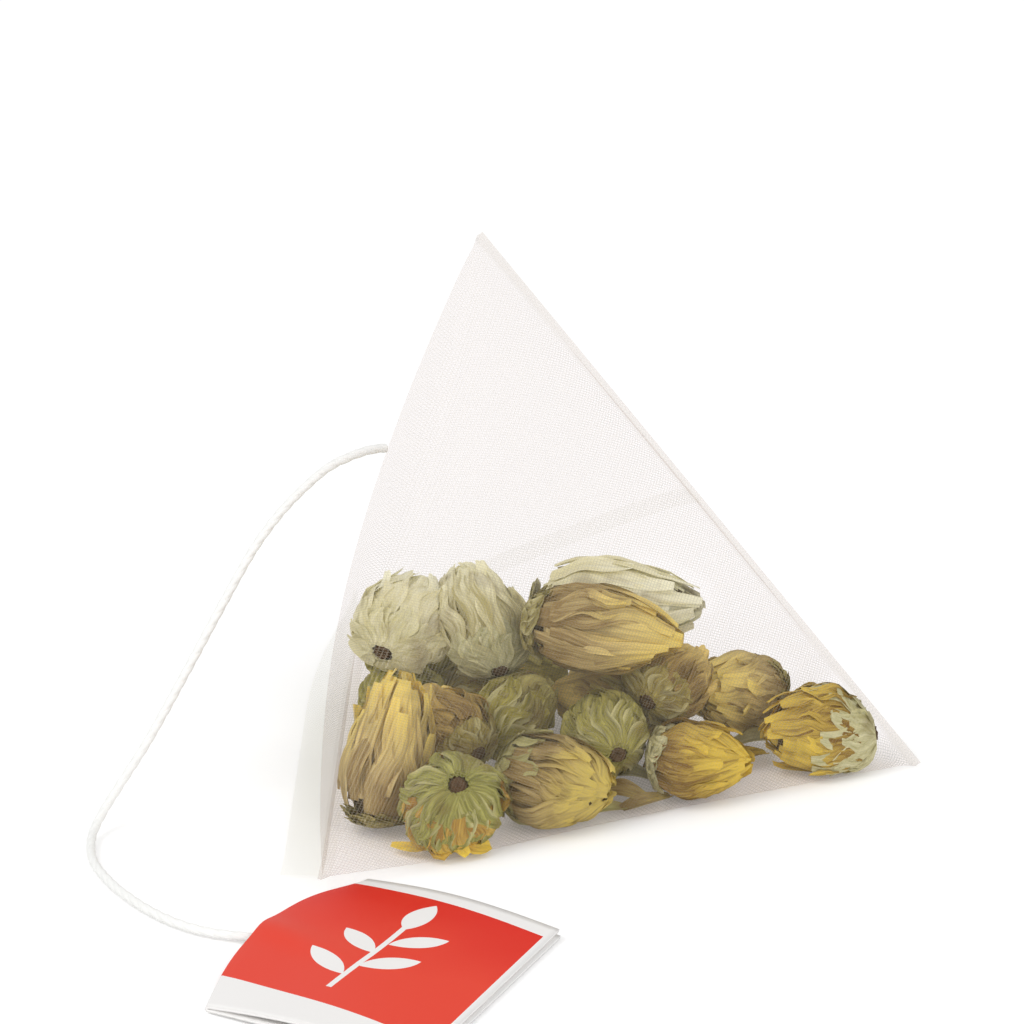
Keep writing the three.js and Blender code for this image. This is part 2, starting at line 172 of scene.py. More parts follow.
# Spun cotton, bleached: matt and nearly white, a little uneven from its fibres. A fibre is
# 0.015 mm thick, too fine to show, so the unevenness is drawn at about 0.4 mm.
cotton = new_material("twisted_cotton")
fibres = add(cotton, "TexNoise", {
    "Vector": add(cotton, "NewGeometry"), "Scale": 2600.0, "Detail": 3.0, "Roughness": 0.7})
fibre_bump = add(cotton, "Bump", {"Strength": 0.12, "Distance": 0.0002, "Height": fibres})
cotton_tone = add(cotton, "MixRGB", (fibres, colour("#efefec"), colour("#f7f7f5")))
cotton_face = add(cotton, "BsdfPrincipled", {
    "Base Color": cotton_tone, "Roughness": 0.9, "Specular IOR Level": 0.1, "Normal": fibre_bump})
add(cotton, "OutputMaterial", {"Surface": cotton_face})
string.data.materials.append(cotton)

# Tag: one piece of coated card, printed on one side and folded in two over the string. The
# upper ply swells at the fold, and its free edge stands a little above the lower ply.
ply_length, fold_length, card_thick, lower_ply_over = 20.5, 29.6, 0.22, 0.1
fold_height, fold_radius = 0.27, 0.15
upper_arch, upper_rise, lower_arch = 0.65, 0.25, 0.2
fold_swell, end_pinch, pinch_reach = 2.0, 1.6, 4.0
fold_lift, lift_depth = 0.5, 4.0
crease_height, crease_from, crease_slant, crease_width, crease_depth = 0.35, 13.5, 0.3, 2.0, 6.0
tag_corner, tag_turn, tag_skew = (2.3, -27.2), math.radians(-20), math.tan(math.radians(12))
ply_steps, fold_steps, tag_rows = 24, 8, 40
# The section across the fold: x from the fold, the height, and x on the flat card, where the
# lower ply starts 5 mm off the fold and so stays clear of the print.
lower_flat = -5
section = []
for k in range(ply_steps + 1):
    x = ply_length * (1 - k / ply_steps)
    arch = upper_arch * math.sin(math.pi * x / ply_length) + upper_rise * x / ply_length
    section.append((x, fold_height + fold_radius + arch, x))
for k in range(1, fold_steps):
    angle = math.pi * k / fold_steps
    section.append((-fold_radius * math.sin(angle), fold_height + fold_radius * math.cos(angle), -0.05 * k))
for k in range(ply_steps + 1):
    x = (ply_length + lower_ply_over) * k / ply_steps
    arch = lower_arch * math.sin(math.pi * x / ply_length)
    section.append((x, fold_height - fold_radius + arch, lower_flat - x))
tag_corners, tag_faces, tag_uvs = [], [], []
for row in range(tag_rows + 1):
    y = fold_length * row / tag_rows
    belly = math.sin(math.pi * y / fold_length)
    for x, z, flat_x in section:
        on_top = flat_x > lower_flat
        swell = fold_swell * belly - end_pinch * math.exp(-(y / pinch_reach) ** 2)
        swell *= max(0, 1 - x / ply_length) ** 1.5
        lift = fold_lift * belly * math.exp(-(x / lift_depth) ** 2) * on_top
        from_crease = y - crease_from - crease_slant * x
        crease = crease_height * math.exp(-(from_crease / crease_width) ** 2)
        crease *= math.exp(-(x / crease_depth) ** 2) * on_top
        px, py = x - swell, -(y + tag_skew * x)
        tag_corners.append((tag_corner[0] + px * math.cos(tag_turn) - py * math.sin(tag_turn),
                            tag_corner[1] + px * math.sin(tag_turn) + py * math.cos(tag_turn),
                            z + lift + crease))
        tag_uvs.append((flat_x, y))
for row in range(tag_rows):
    for k in range(len(section) - 1):
        a = row * len(section) + k
        tag_faces.append((a, a + 1, a + 1 + len(section), a + len(section)))
tag = make_piece("tag_card", tag_corners, tag_faces, tag_uvs)
solid = tag.modifiers.new("card", "SOLIDIFY")
solid.thickness, solid.offset = card_thick / 1000, 0
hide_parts("tag")

# Coated card, offset printed: a smooth white face with a soft gloss. The red ink is a little
# lighter towards the near end, in soft clouds 10 mm across.
card = new_material("printed_card")
tx, ty, _ = add(card, "SeparateXYZ", (add(card, "UVMap"),)).outputs


# What is 1 where each of the given measures is above zero, and 0 elsewhere.
def inside(*measures):
    result = add(card, "Math", (measures[0], 0.0), operation="GREATER_THAN")
    for measure in measures[1:]:
        above = add(card, "Math", (measure, 0.0), operation="GREATER_THAN")
        result = add(card, "Math", (result, above), operation="MULTIPLY")
    return result


# The red field ends at two slanted lines across the card, short of the free edge, and round
# the fold.
red_to, red_past_fold = 19.9, 0.4
far_line = add(card, "Math", (tx, 0.035, 1.5), operation="MULTIPLY_ADD")
near_line = add(card, "Math", (tx, 0.11, 23.9), operation="MULTIPLY_ADD")
red = inside(add(card, "Math", (ty, far_line), operation="SUBTRACT"),
             add(card, "Math", (near_line, ty), operation="SUBTRACT"),
             add(card, "Math", (red_to, tx), operation="SUBTRACT"),
             add(card, "Math", (tx, red_past_fold), operation="ADD"))


# A plain sprig, white on red: each slender leaf is where two circles overlap.
def leaf_print(cx, cy, degrees, length, width):
    turned_x, turned_y = math.cos(math.radians(degrees)), math.sin(math.radians(degrees))
    dx = add(card, "Math", (tx, cx), operation="SUBTRACT")
    dy = add(card, "Math", (ty, cy), operation="SUBTRACT")
    along = add(card, "Math", (dy, turned_y, add(card, "Math", (dx, turned_x), operation="MULTIPLY")),
                operation="MULTIPLY_ADD")
    across = add(card, "Math", (dx, -turned_y, add(card, "Math", (dy, turned_x), operation="MULTIPLY")),
                 operation="MULTIPLY_ADD")
    radius = (length * length + width * width) / (4 * width)
    halves = []
    for sign in (1, -1):
        moved = add(card, "Math", (across, sign * (radius - width / 2)), operation="ADD")
        square = add(card, "Math", (along, along, add(card, "Math", (moved, moved), operation="MULTIPLY")),
                     operation="MULTIPLY_ADD")
        halves.append(add(card, "Math", (radius * radius, square), operation="SUBTRACT"))
    return inside(*halves)


stem_x, stem_sway, stem_half, stem_foot, stem_tip = 9.0, 0.7, 0.24, 21.8, 7.0
stem_phase = add(card, "Math", (ty, 0.16), operation="MULTIPLY")
stem_bend = add(card, "Math", (stem_phase,), operation="SINE")
stem_line = add(card, "Math", (stem_bend, stem_sway, stem_x), operation="MULTIPLY_ADD")
off_stem = add(card, "Math", (tx, stem_line), operation="SUBTRACT")
from_stem = add(card, "Math", (off_stem,), operation="ABSOLUTE")
sprig = inside(add(card, "Math", (stem_half, from_stem), operation="SUBTRACT"),
               add(card, "Math", (ty, stem_tip), operation="SUBTRACT"),
               add(card, "Math", (stem_foot, ty), operation="SUBTRACT"))
for leaf_sizes in ((9.7, 5.6, 268, 5.6, 2.2), (11.9, 10.0, -42, 5.2, 2.0), (7.6, 12.1, 222, 5.2, 2.0),
                   (11.5, 15.0, -42, 5.4, 2.1), (6.9, 17.1, 222, 5.4, 2.1)):
    sprig = add(card, "Math", (sprig, leaf_print(*leaf_sizes)), operation="MAXIMUM")
printed = add(card, "Math", (red, sprig), operation="SUBTRACT", use_clamp=True)
clouds = add(card, "TexNoise", {"Vector": add(card, "UVMap"), "Scale": 0.09, "Detail": 1.0})
fade = add(card, "Math", (ty, 0.09, add(card, "Math", (clouds, 0.75), operation="SUBTRACT")),
           operation="MULTIPLY_ADD", use_clamp=True)
ink = add(card, "MixRGB", (fade, colour("#dc2416"), colour("#e53f2a")))
card_tone = add(card, "MixRGB", (printed, colour("#f0eeec"), ink))
card_face = add(card, "BsdfPrincipled", {
    "Base Color": card_tone, "Roughness": 0.42, "Specular IOR Level": 0.2})
add(card, "OutputMaterial", {"Surface": card_face})
tag.data.materials.append(card)

# Mesh pouch, its shape: one thin web rolled to a tube, sealed flat at its foot and, turned by a
# right angle, at its top. Its corners follow the bulged faces of the solid. The buds come next,
# because they are pressed against it from inside.
seal_width, web_advance, top_lip = 60.0, 48.6, 0.6
left_bulge, front_bulge, back_bulge = 3.3, 3.4, 3.2
side_bow, base_bow = 0.2, 1.2
corner_lift, lift_reach = 1.3, 8.0
apex_x = (2 * web_advance ** 2 - seal_width ** 2) / (2 * web_advance)
apex = np.array([apex_x, 0, math.sqrt(web_advance ** 2 - apex_x ** 2)])
front = np.array([0, -seal_width / 2, 0])
rear = np.array([0, seal_width / 2, 0])
right = np.array([web_advance, 0, 0])
heart = (apex + front + rear + right) / 4
# The four faces. Each lies between two folds, which run from the foot seal to the top seal.
web_faces = [((rear, apex), (front, apex), left_bulge), ((front, apex), (front, right), front_bulge),
             ((front, right), (rear, right), 0.0), ((rear, right), (rear, apex), back_bulge)]
# The flat web is ruled in columns, 12 to a half turn of the tube, and in 6 rows from seal to
# seal. Each of these units is eight steps of the grid.
half_turn, web_rows, per_unit = 12, 6, 8
column_width, row_height = seal_width / half_turn, web_advance / web_rows


# Where a point of the flat web stands. The folds start at the ends of one seal and run slantwise
# to the ends of the other, with one face of the pyramid between each two.
def web_place(column, row):
    folds = [row, half_turn - row, half_turn + row, 2 * half_turn - row, 2 * half_turn + row]
    if column < row:
        column += 2 * half_turn
    number = max(0, min(3, sum(column > fold + 1e-9 for fold in folds) - 1))
    (a, b), (c, d), bulge = web_faces[number]
    low, high = folds[number], folds[number + 1]
    up = row / web_rows
    across = (column - low) / (high - low) if high > low else 0
    place = (a + (b - a) * up) * (1 - across) + (c + (d - c) * up) * across
    to_point = up if number % 2 == 0 else 1 - up
    # The edges bow inwards a little, those at the base more.
    bows = [side_bow if any(end is apex for end in fold) else base_bow for fold in ((a, b), (c, d))]
    inward = heart - place
    bow = bows[0] * (1 - across) + bows[1] * across
    place = place + inward / np.linalg.norm(inward) * bow * 4 * to_point * (1 - to_point)
    # The face bulges outwards, by the whole of its bulge where the share below is 1 / 27.
    third = d if any(end is a for end in (c, d)) and not any(end is d for end in (a, b)) else c
    normal = np.cross(b - a, third - a)
    normal = normal / np.linalg.norm(normal)
    if normal @ (heart - a) > 0:
        normal = -normal
    share = max(0, to_point * (1 - to_point) ** 2 * across * (1 - across))
    place = place + normal * bulge * math.sqrt(27 * share)
    # The base lies on the table, apart from the front corner, which is lifted over the tag.
    if number == 2 or (column in (half_turn + row, 2 * half_turn - row)):
        place[2] = 0
    place[2] += corner_lift * max(0, 1 - (place[1] - front[1]) / lift_reach)
    return place


web_corners, web_uvs = [], []
columns, web_lines = 2 * half_turn * per_unit, web_rows * per_unit
for i in range(web_lines + 1):
    for j in range(columns + 1):
        web_corners.append(web_place(j / per_unit, i / per_unit))
        web_uvs.append((j / per_unit * column_width, i / per_unit * row_height))
# Each square is cut along the fold that crosses it.
web_triangles = []
width = columns + 1
for i in range(web_lines):
    for j in range(columns):
        a, b, c, d = i * width + j, i * width + j + 1, (i + 1) * width + j + 1, (i + 1) * width + j
        rises = j % (half_turn * per_unit) == i
        web_triangles += [(a, b, c), (a, c, d)] if rises else [(a, b, d), (b, c, d)]

# The folds are soft: each inner corner goes part of the way to the mean of its neighbours.
softenings, table_gap = 2, 0.03
grid = np.array(web_corners).reshape(web_lines + 1, width, 3)
for _ in range(softenings):
    ring = grid[:, :-1]
    mean = (np.roll(ring, 1, 1) + np.roll(ring, -1, 1)) / 2
    up_down = (grid[:-2, :-1] + grid[2:, :-1]) / 2
    soft = ring.copy()
    soft[1:-1] = ring[1:-1] * 0.5 + (mean[1:-1] + up_down) * 0.25
    grid = np.concatenate([soft, soft[:, :1]], 1)
web_corners = grid.reshape(-1, 3)
web_corners[:, 2] = np.maximum(web_corners[:, 2], table_gap)
outwards = np.cross(np.gradient(grid, axis=1), np.gradient(grid, axis=0)).reshape(-1, 3)
outwards *= np.sign(np.sum(outwards * (web_corners - heart), axis=1))[:, None]
web_normals = outwards / np.maximum(np.linalg.norm(outwards, axis=1), 1e-9)[:, None]
web_tree = KDTree(len(web_corners))
for number, corner in enumerate(web_corners):
    web_tree.insert(corner, number)
web_tree.balance()

# Buds: dried flower buds, each a round heart, painted dark as the shade between its petals, in thin
# folded petals drawn to a tip, with papery scales round the scar of the stem. They lie loose in
# the pouch, heaped on its base.

# Each bud has its yaw and tilt, its length and girth, how far the scales reach and the petals
# gape, how it settled against the mesh, and its finish.
bud_rows = {
    1: (110, -52, 7.4, 8.4, 0.62, 1.4, (-0.8, -3.0, -1.1), "green_scales"),
    2: (-25, -5, 11.0, 7.4, 0.3, 0.5, (1.4, -2.5, -0.9), "dull"),
    3: (-12, 0, 8.8, 6.6, 0.18, 0.5, (0.6, -2.0, -0.8), "golden"),
    4: (195, 5, 9.6, 7.8, 0.42, 0.9, (2.3, -0.6, -0.8), "golden"),
    5: (60, 68, 12.8, 7.4, 0.1, 1.8, (0.4, -0.6, -0.5), "straw"),
    6: (110, 5, 8.4, 6.6, 0.5, 0.8, (0.2, 1.0, 0.8), "moss"),
    7: (60, 15, 8.4, 6.8, 0.45, 0.9, (-0.3, 1.5, 1.2), "olive"),
    8: (130, 15, 8.6, 6.6, 0.15, 0.4, (0.9, 1.5, 1.4), "brown"),
    9: (215, 15, 8.4, 6.8, 0.25, 1.0, (1.2, 0, 0.8), "straw"),
    10: (60, 10, 7.8, 6.6, 0.2, 0.6, (-0.6, -0.5, -1.1), "brown"),
    11: (80, 0, 9.2, 7.0, 0.4, 0.5, (0, 0, 0), "moss"),
    12: (15, 0, 9.0, 6.4, 0.4, 0.5, (0, 0, 0), "brown"),
    13: (170, 0, 9.2, 7.6, 0.4, 0.5, (0, 0, 0), "brown"),
    14: (100, 0, 10.0, 7.2, 0.4, 0.5, (0, 0, 0), "moss"),
    15: (-35, 0, 9.4, 6.8, 0.4, 0.5, (0, 0, 0), "moss"),
    16: (-6, -4, 13.0, 7.8, 0.12, 0.6, (0.7, -1.2, -0.9), "straw"),
    17: (70, 15, 9.8, 7.4, 0.25, 1.2, (0.4, 0, 0), "pale"),
    18: (115, 35, 10.5, 7.4, 0.2, 1.2, (-1.0, 0.6, 0.9), "sage"),
    19: (-8, 3, 14.2, 7.4, 0.03, 1.3, (1.2, 0, 0), "pale"),
    20: (-20, 0, 9.0, 6.8, 0.4, 0.5, (0, 0, 0), "moss")}
# The material tells a bud's parts by U: on a petal it is the millimetres from its middle line,
# on a scale the same from scale_u, and the heart and the scar have one value each. V runs from
# 0 at the foot of a petal or scale to leaf_v at its end.
heart_u, scale_u, scar_u, leaf_v = 5, 10, 25, 10


# A bud's half girth along it, from the scar at 0 to the petals' ends at 1 and just past them.
def bud_outline(t):
    return float(np.interp(t, (0, 0.05, 0.14, 0.3, 0.5, 0.7, 0.85, 1.0, 1.1),
                           (0.2, 0.5, 0.8, 0.98, 1.0, 0.86, 0.66, 0.36, 0.2)))


# One petal (kind 0) or scale (kind 1): a ribbon along a line, cupped across, with two low ribs.
def leaf(shape, line, width, cup, tone, kind):
    corners, faces, uvs, tones = shape
    spans = 4
    start = len(corners)
    for k, (place, outward, around) in enumerate(line):
        share = k / (len(line) - 1)
        half = width * math.sin(math.pi * (0.12 + 0.8 * share)) ** 0.6 / 2
        for s in range(spans + 1):
            w = 2 * s / spans - 1
            rib = 0.07 if s in (1, 3) else -0.03
            rise = cup * half * (w * w - 0.4) + rib
            corners.append(place + around * half * w + outward * rise)
            uvs.append((w * half + kind * scale_u, share * leaf_v))
            tones.append(tone)
    for k in range(len(line) - 1):
        for s in range(spans):
            a = start + k * (spans + 1) + s
            faces.append((a, a + 1, a + spans + 2, a + spans + 1))


def make_bud(length, girth, calyx, gape, seed):
    rng = random.Random(seed)
    shape = corners, faces, uvs, tones = [], [], [], []
    lean, bend, bend_way = rng.uniform(0, 6.28), rng.uniform(0.4, 1.2), rng.uniform(0, 6.28)

    # A place on the bud, t of the way along it and at an angle round it, and the way out there.
    def on_bud(t, angle, lift):
        squeeze = 1 + 0.1 * math.cos(2 * (angle - lean)) + 0.04 * math.cos(5 * angle + 6 * t + lean)
        r = max(0.05, girth / 2 * bud_outline(t) * squeeze * 0.95 + lift)
        outward = np.array([0.0, math.cos(angle), math.sin(angle)])
        bow = bend * ((t - 0.5) ** 2 - 0.1)
        middle = np.array([length * (t - 0.5), bow * math.cos(bend_way), bow * math.sin(bend_way)])
        return middle + outward * r, outward

    # The round heart, sunk below the petals; its dark colour is painted shade between them.
    heart_depth, sides, rings = 0.75, 20, 13
    for k in range(rings):
        for s in range(sides):
            place, _ = on_bud(0.02 + 0.9 * k / (rings - 1), 2 * math.pi * s / sides, -heart_depth)
            corners.append(place)
            uvs.append((heart_u, k))
            tones.append(0.5)
    for k in range(rings - 1):
        for s in range(sides):
            a, b = k * sides + s, k * sides + (s + 1) % sides
            faces.append((a, b, b + sides, a + sides))
    # Three layers of petals, from the inside: their number, height and how far they close over
    # the tip, which they do most where the bud hardly gapes.
    petal_steps, shut = 11, max(0.3, 1.2 - 0.5 * gape)
    for layer, (count, height, closing) in enumerate(((20, -0.45, 2.7), (22, -0.1, 1.0), (14, 0.15, 0))):
        for n in range(count):
            angle = 2 * math.pi * (n + rng.uniform(-0.45, 0.45)) / count
            drift, phase = rng.uniform(-0.45, 0.45), rng.uniform(0, 6.28)
            wave = rng.uniform(0.02, 0.12)
            first = rng.uniform(0.08, 0.25)
            last = rng.uniform(0.84, 1.06) if layer < 2 else rng.uniform(0.62, 1.0)
            lift = height + rng.uniform(-0.12, 0.12)
            flare = rng.choice((0, 0, 0.3, 0.8)) * gape * (layer > 0)
            line = []
            for k in range(petal_steps + 1):
                share = k / petal_steps
                way = angle + drift * share + wave * math.sin(9 * share + phase)
                tip_turn = (3 * flare - closing * shut) * max(0, share - 0.7)
                bump = lift + 0.2 * math.sin(8 * share + 2 * phase) + tip_turn
                place, outward = on_bud(first + (last - first) * share, way, bump)
                line.append((place, outward, np.array([0.0, -math.sin(way), math.cos(way)])))
            leaf(shape, line, rng.uniform(1.3, 2.6), rng.uniform(-0.5, 0.5), rng.random(), 0)
    # Three rows of papery scales, curled up at their ends.
    scale_steps = 7
    for row, (count, reach) in enumerate(((14, 1.3), (12, 1.0), (9, 0.6))):
        for n in range(count):
            angle = 2 * math.pi * (n + 0.5 * row + rng.uniform(-0.3, 0.3)) / count
            last = calyx * reach * rng.uniform(0.7, 1.2)
            drift, curl_up = rng.uniform(-0.2, 0.2), rng.uniform(0.1, 0.8) * (0.5 + gape)
            line = []
            for k in range(scale_steps + 1):
                share = k / scale_steps
                curl = 0.1 + 0.12 * row + 0.08 * math.sin(8 * share + n) + curl_up * max(0, share - 0.65)
                way = angle + drift * share + 0.1 * math.sin(6 * share + n)
                place, outward = on_bud(last * share, way, curl)
                line.append((place, outward, np.array([0.0, -math.sin(way), math.cos(way)])))
            leaf(shape, line, rng.uniform(1.3, 2.2), rng.uniform(-0.3, 0.6), rng.random(), 1)
    # The scar where the stem broke off, a shallow rough cup. A row is the depth and radius of
    # one of its rings.
    scar, scar_sides = len(corners), 10
    scar_rings = ((0.35, 0.75), (-0.15, 0.7), (-0.1, 0.4), (0.25, 0.0))
    foot, outward = on_bud(0, 0, 0)
    foot = foot - outward * girth / 2 * 0.2
    for k, (depth, r) in enumerate(scar_rings):
        for s in range(scar_sides):
            angle = 2 * math.pi * s / scar_sides
            r *= rng.uniform(0.93, 1.06)
            y, z = foot[1] + r * math.cos(angle), foot[2] + r * math.sin(angle)
            corners.append(np.array([-length / 2 + depth, y, z]))
            uvs.append((scar_u, k))
            tones.append(0.5)
    for k in range(len(scar_rings) - 1):
        for s in range(scar_sides):
            a, b = scar + scar_sides * k + s, scar + scar_sides * k + (s + 1) % scar_sides
            faces.append((a, b, b + scar_sides, a + scar_sides))
    return shape


# Dried petal: thin, dull and a little translucent, darker and browner at the foot, partly its own
# colour and partly painted shade where the petals overlap, and yellow at the tip, with fine
# streaks 0.4 mm apart along it and brown spots 3 mm across where it was bruised. The heart is
# painted dark, as the shade between the petals, and the scales are green with straw margins.
def petal_material(name, tip, pale, deep, scale_pale, scale_deep):
    material = new_material(name)
    tone = add(material, "Attribute", attribute_name="tone").outputs["Fac"]
    across, along, _ = add(material, "SeparateXYZ", (add(material, "UVMap"),)).outputs
    slow = add(material, "Math", (along, 0.06), operation="MULTIPLY")
    streaks = add(material, "TexNoise", {"Vector": add(material, "CombineXYZ", (across, slow, tone)),
                                         "Scale": 2.7, "Detail": 4.0, "Roughness": 0.65})
    bruises = add(material, "TexNoise", {
        "Vector": add(material, "NewGeometry"), "Scale": 300.0, "Detail": 2.0})
    spots = add(material, "Math", (bruises, 5.0, -2.8), operation="MULTIPLY_ADD", use_clamp=True)

    # Painted shade in part: each petal darkens towards its foot, where the others cover it.
    height = add(material, "Math", (along, 0.07, -0.5), operation="MULTIPLY_ADD")
    by_petal = add(material, "Math", (tone, 0.6, height), operation="MULTIPLY_ADD")
    contrast = add(material, "Math", (streaks, 2.9, -1.1), operation="MULTIPLY_ADD")
    light = add(material, "Math", (contrast, by_petal), operation="ADD", use_clamp=True)
    near_tip = add(material, "Math", (along, 0.18, -0.7), operation="MULTIPLY_ADD", use_clamp=True)
    yellow = add(material, "Math", (near_tip, light), operation="MULTIPLY")
    petals = add(material, "MixRGB", (light, colour(deep), colour(pale)))
    petals = add(material, "MixRGB", (yellow, petals, colour(tip)))
    bruised = add(material, "Math", (spots, 0.55), operation="MULTIPLY")
    petals = add(material, "MixRGB", (bruised, petals, colour("#6f5530")))

    scale_light = add(material, "Math", (streaks, 2.6, -0.9), operation="MULTIPLY_ADD", use_clamp=True)
    scales = add(material, "MixRGB", (scale_light, colour(scale_deep), colour(scale_pale)))
    off_middle = add(material, "Math", (across, scale_u), operation="SUBTRACT")
    from_middle = add(material, "Math", (off_middle,), operation="ABSOLUTE")
    margin = add(material, "Math", (from_middle, 2.2, -1.1), operation="MULTIPLY_ADD", use_clamp=True)
    papery = add(material, "Math", (margin, 0.7), operation="MULTIPLY")
    scales = add(material, "MixRGB", (papery, scales, colour("#e0d9a4")))
    bruised = add(material, "Math", (spots, 0.6), operation="MULTIPLY")
    scales = add(material, "MixRGB", (bruised, scales, colour("#7c6238")))

    body = petals
    # The heart's dark brown is painted shade between the petals; the scar's brown is its own.
    for from_u, part in ((heart_u - 2, colour("#56472a")), (scale_u - 2.5, scales),
                         (scar_u - 5, colour("#5c452c"))):
        is_part = add(material, "Math", (across, from_u), operation="GREATER_THAN")
        body = add(material, "MixRGB", (is_part, body, part))
    bump = add(material, "Bump", {"Strength": 0.6, "Distance": 0.0003, "Height": streaks})
    surface = add(material, "BsdfPrincipled", {
        "Base Color": body, "Roughness": 0.6, "Specular IOR Level": 0.25, "Normal": bump})
    through = add(material, "BsdfTranslucent", {"Color": body, "Normal": bump})
    add(material, "OutputMaterial", {"Surface": add(material, "MixShader", (0.22, surface, through))})
    return material


# The heap's finishes, from fresh yellow to bleached: the colours of a petal's tip, its light
# and its dark streaks, and of a scale's light and dark streaks. Pale, on buds 17 and 19 at the
# back, is partly their own colour and partly painted light, made lighter against the shade they lie in.
finishes = {}
for finish, colours in {
        "golden": ("#efd156", "#d9ba57", "#8a6a34", "#f4f0c6", "#bab47c"),
        "green_scales": ("#f6d656", "#f2d068", "#a8813f", "#ccc870", "#74743a"),
        "straw": ("#f8e07a", "#e4ce8e", "#9a8150", "#c8bd78", "#837740"),
        "dull": ("#dfc968", "#c8b276", "#8c7444", "#d2ce90", "#968e54"),
        "olive": ("#dcd382", "#beb26a", "#6f6434", "#c8bb5e", "#6f692a"),
        "moss": ("#e2da82", "#c8be68", "#746e36", "#d0c668", "#747038"),
        "brown": ("#f2d882", "#d6b86a", "#82683c", "#ccba66", "#7c6e3e"),
        "sage": ("#fffbd8", "#fdf7cf", "#b8ae76", "#f2efc8", "#aeaa76"),
        # Partly painted light: lightened to make up for the shade on buds 17 and 19.
        "pale": ("#fffde2", "#fffbdc", "#efe8bc", "#fffad8", "#d8d2a0")}.items():
    finishes[finish] = petal_material("dried_petal_" + finish, *colours)
# Petals that came off and lie by a bud, on the base or against the front face: the way they
# face, and for each its line, width, tone and kind. The dark ones by buds 2 and 3 are partly
# painted shade, darkening the base between those buds.
loose_petals = {
    1: ((0.1, -0.7, 0.7), [
        (((8.6, -20.6, 3.2), (8.8, -22.0, 1.7), (9.5, -22.6, 0.55), (10.1, -22.2, 1.5),
          (10.4, -21.2, 3.0)), 1.2, 0.85, 0),
        (((9.6, -20.8, 1.6), (7.6, -21.6, 0.9), (5.3, -20.4, 0.6)), 1.0, 0.85, 0),
        (((10.4, -20.6, 2.4), (12.2, -21.2, 1.0), (13.6, -20.2, 0.6)), 1.8, 0.85, 0),
        (((9.8, -20.4, 2.6), (11.2, -22.0, 1.1), (11.8, -22.3, 0.5)), 1.6, 0.85, 0)]),
    # Dark petals, partly painted shade on the base under buds 2 and 3.
    2: ((0.0, -0.2, 0.98), [
        (((20.0, -13.4, 0.6), (22.4, -12.8, 1.1), (24.6, -11.4, 0.6)), 2.2, 0.1, 1),
        (((21.5, -9.0, 0.6), (24.0, -9.8, 1.5), (26.4, -9.8, 0.6)), 2.6, 0.0, 0),
        (((22.0, -5.4, 0.7), (24.4, -6.2, 1.8), (26.8, -5.4, 0.7)), 2.6, 0.1, 1),
        (((24.2, -11.9, 0.6), (26.2, -10.8, 1.0), (28.2, -8.6, 0.6)), 1.8, 0.2, 0)]),
    3: ((0.0, -0.2, 0.98), [
        (((27.4, -6.6, 0.6), (29.4, -6.4, 1.2), (31.2, -5.0, 0.6)), 2.0, 0.1, 1),
        (((25.6, -2.8, 0.7), (27.6, -3.6, 1.9), (29.6, -2.8, 0.8)), 2.6, 0.0, 0),
        (((32.8, -1.4, 0.6), (34.4, -0.6, 1.2), (36.0, 1.2, 0.6)), 2.0, 0.1, 0),
        (((33.0, 2.6, 0.7), (35.2, 2.4, 1.6), (37.4, 3.4, 0.7)), 2.4, 0.1, 1)])}
loose_step, loose_cup = 0.4, 0.4
web_give, web_room = 1.1, 0.15


# A corner near the web or beyond it is pressed in, so that the bud lies flat against the mesh.
# It starts to give web_give inside the web, and stops web_room inside it.
def pressed(corner):
    _, nearest, _ = web_tree.find(corner)
    out = (corner - web_corners[nearest]) @ web_normals[nearest]
    if out < -web_give:
        return corner
    kept = -web_room - (web_give - web_room) * math.exp(-(out + web_give) / (web_give - web_room))
    return corner + web_normals[nearest] * (kept - out)


bud_seed = 40
bud_corners = []
for index, (yaw, tilt, length, girth, calyx, gape, settle, finish) in bud_rows.items():
    node = f"bud_{index:02d}"
    low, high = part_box(node)
    middle = (low + high) / 2
    centre = np.array([(middle.x - seal_x) * 1000, middle.y * 1000, middle.z * 1000]) + settle
    yaw, tilt = math.radians(yaw), math.radians(tilt)
    axis = np.array([math.cos(yaw) * math.cos(tilt), math.sin(yaw) * math.cos(tilt), math.sin(tilt)])
    level = np.array([-math.sin(yaw), math.cos(yaw), 0.0])
    axes = np.stack([axis, level, np.cross(axis, level)], 1)
    corners, faces, uvs, tones = make_bud(length, girth, calyx, gape, bud_seed + index)
    placed = [pressed(corner) for corner in np.array(corners) @ axes.T + centre]
    facing, petals = loose_petals.get(index, ((0, 0, 1), ()))
    outward = np.array(facing)
    for points, petal_width, tone, kind in petals:
        middle_line = smooth_line([np.array(p) for p in points], loose_step)
        arounds = [np.cross(way, outward) for way in np.gradient(middle_line, axis=0)]
        leaf((placed, faces, uvs, tones),
             [(p, outward, around / np.linalg.norm(around)) for p, around in zip(middle_line, arounds)],
             petal_width, loose_cup, tone, kind)
    bud_corners += placed
    bud = make_piece(f"flower_{index:02d}", placed, faces, uvs, {"tone": tones})
    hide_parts(node)
    bud.data.materials.append(finishes[finish])

# Mesh pouch, the piece: woven clear polymer, cut from the roll, with both plies of each seal
# standing out as a lip, and a lap weld 1.6 mm wide that closes the tube up the back face.
bud_tree = KDTree(len(bud_corners))
for number, corner in enumerate(bud_corners):
    bud_tree.insert(corner, number)
bud_tree.balance()
# How near each corner of the web is to a bud: 0 from touch_reach away, 1 a millimetre nearer.
touch_reach = 1.35
touch = [min(1.0, max(0.0, touch_reach - bud_tree.find(corner)[2])) for corner in web_corners]
all_corners, all_uvs = list(web_corners), list(web_uvs)


